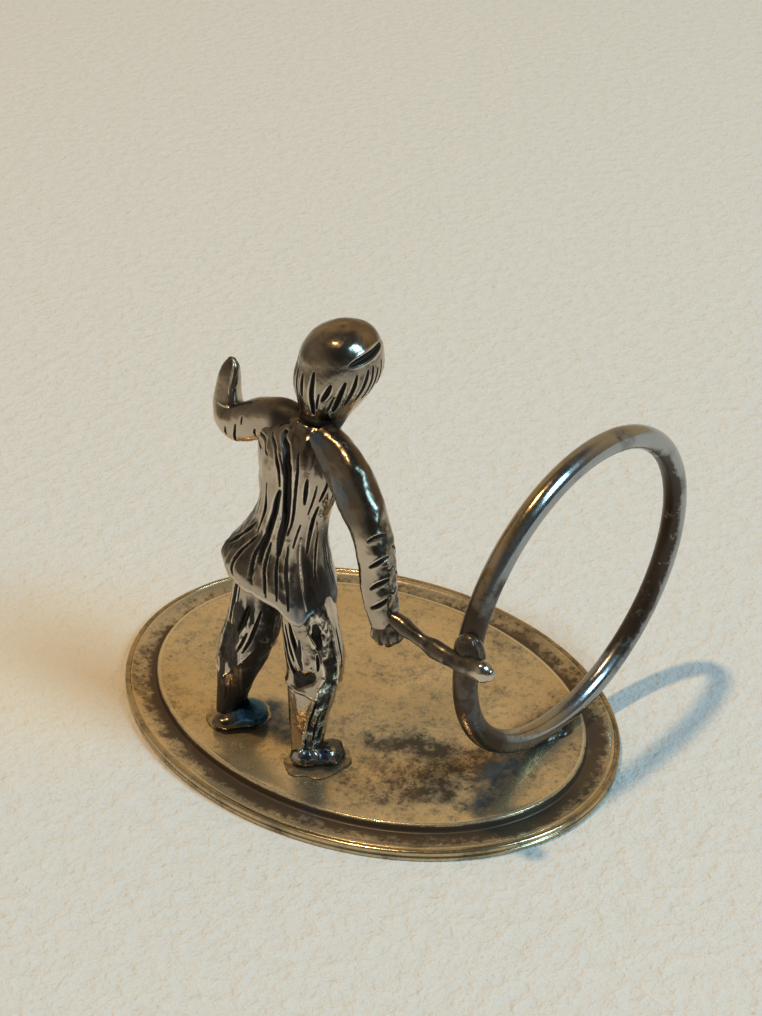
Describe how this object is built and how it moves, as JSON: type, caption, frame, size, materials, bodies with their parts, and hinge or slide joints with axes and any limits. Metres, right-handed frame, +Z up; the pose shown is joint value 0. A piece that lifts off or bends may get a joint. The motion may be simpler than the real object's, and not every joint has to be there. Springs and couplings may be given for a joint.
{
  "type": "table number holder",
  "caption": "Oval-footed metal miniature of a child bowling a hoop with a stick; a card leans in or clips behind the upright hoop.",
  "frame": {"origin": "centre of the oval foot, on the surface it stands on", "axes": "+Z up, +X along the long axis of the foot towards the hoop side, +Y the way the child faces and the hoop rolls"},
  "size_m": [0.04, 0.0324, 0.0328],
  "materials": {
    "tarnished_silver": "satin",
    "worn_silver": "satin",
    "oxidised_silver": "satin",
    "polished_silver": "polished",
    "solder": "satin"
  },
  "bodies": {
    "root": {"base_plate": "tarnished_silver", "rim_wire": "worn_silver", "jacket": "oxidised_silver", "head": "oxidised_silver", "left_arm": "oxidised_silver", "right_arm": "oxidised_silver", "right_hand": "oxidised_silver", "left_leg": "oxidised_silver", "right_leg": "oxidised_silver", "left_shoe": "oxidised_silver", "right_shoe": "oxidised_silver", "stick": "polished_silver", "hoop": "polished_silver", "solder_stick": "solder", "solder_hoop_seat": "solder", "solder_left_foot": "solder", "solder_right_foot": "solder"}
  },
  "joints": []
}
